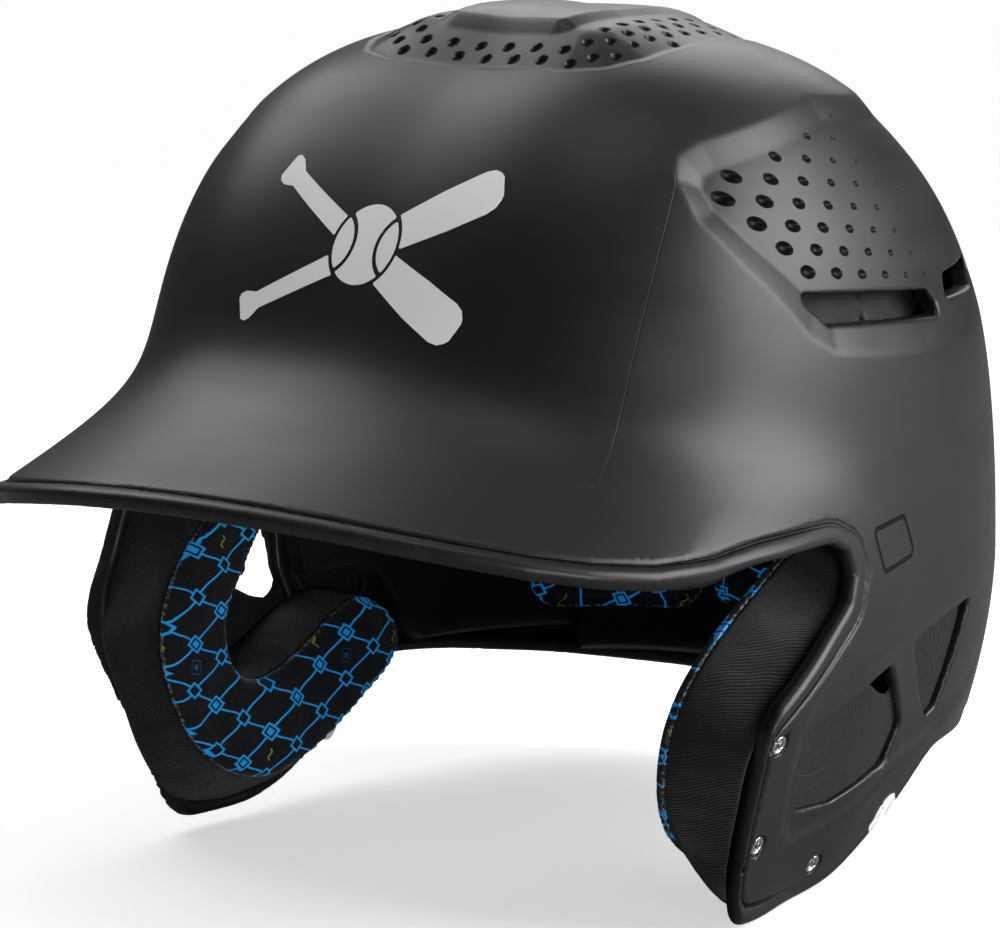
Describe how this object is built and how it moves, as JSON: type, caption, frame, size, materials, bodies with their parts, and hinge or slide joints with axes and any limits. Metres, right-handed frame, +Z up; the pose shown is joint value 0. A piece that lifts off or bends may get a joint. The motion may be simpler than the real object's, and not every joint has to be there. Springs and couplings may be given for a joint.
{
  "type": "batting helmet",
  "caption": "Hard-shell batting helmet with front brim, vented dome, windowed ear flaps, foam liner, fabric pads and padded ear cups.",
  "frame": {"origin": "centre of the footprint, on the plane of the lowest edge of the ear flaps", "axes": "+X towards the wearer's left, +Y towards the back of the head, +Z up"},
  "size_m": [0.2366, 0.3046, 0.2396],
  "materials": {
    "shell": "matte black moulded ABS",
    "decal": "light grey satin decal",
    "zinc": "bright zinc plated",
    "liner_foam": "black moulded foam skin",
    "pad_print": "brushed fabric, dark navy with a blue diamond lattice print",
    "knit": "ribbed black knit",
    "core_foam": "open cell foam"
  },
  "bodies": {
    "root": {"crown_pad": "pad_print", "ear_pad_core_left": "core_foam", "ear_pad_core_right": "core_foam", "ear_pad_face_left": "pad_print", "ear_pad_face_right": "pad_print", "ear_pad_gusset_left": "knit", "ear_pad_gusset_right": "knit", "flap_emblem_left": "decal", "flap_emblem_right": "decal", "forehead_pad": "pad_print", "front_emblem": "decal", "liner_crown": "liner_foam", "liner_front": "liner_foam", "liner_rear": "liner_foam", "liner_side_left": "liner_foam", "liner_side_right": "liner_foam", "outer_shell": "shell", "rear_pad_center": "pad_print", "rear_pad_left": "pad_print", "rear_pad_right": "pad_print", "temple_pad_left": "pad_print", "temple_pad_right": "pad_print", "threaded_insert_front_left": "zinc", "threaded_insert_front_right": "zinc", "threaded_insert_lower_left": "zinc", "threaded_insert_lower_right": "zinc", "threaded_insert_upper_left": "zinc", "threaded_insert_upper_right": "zinc"}
  },
  "joints": []
}
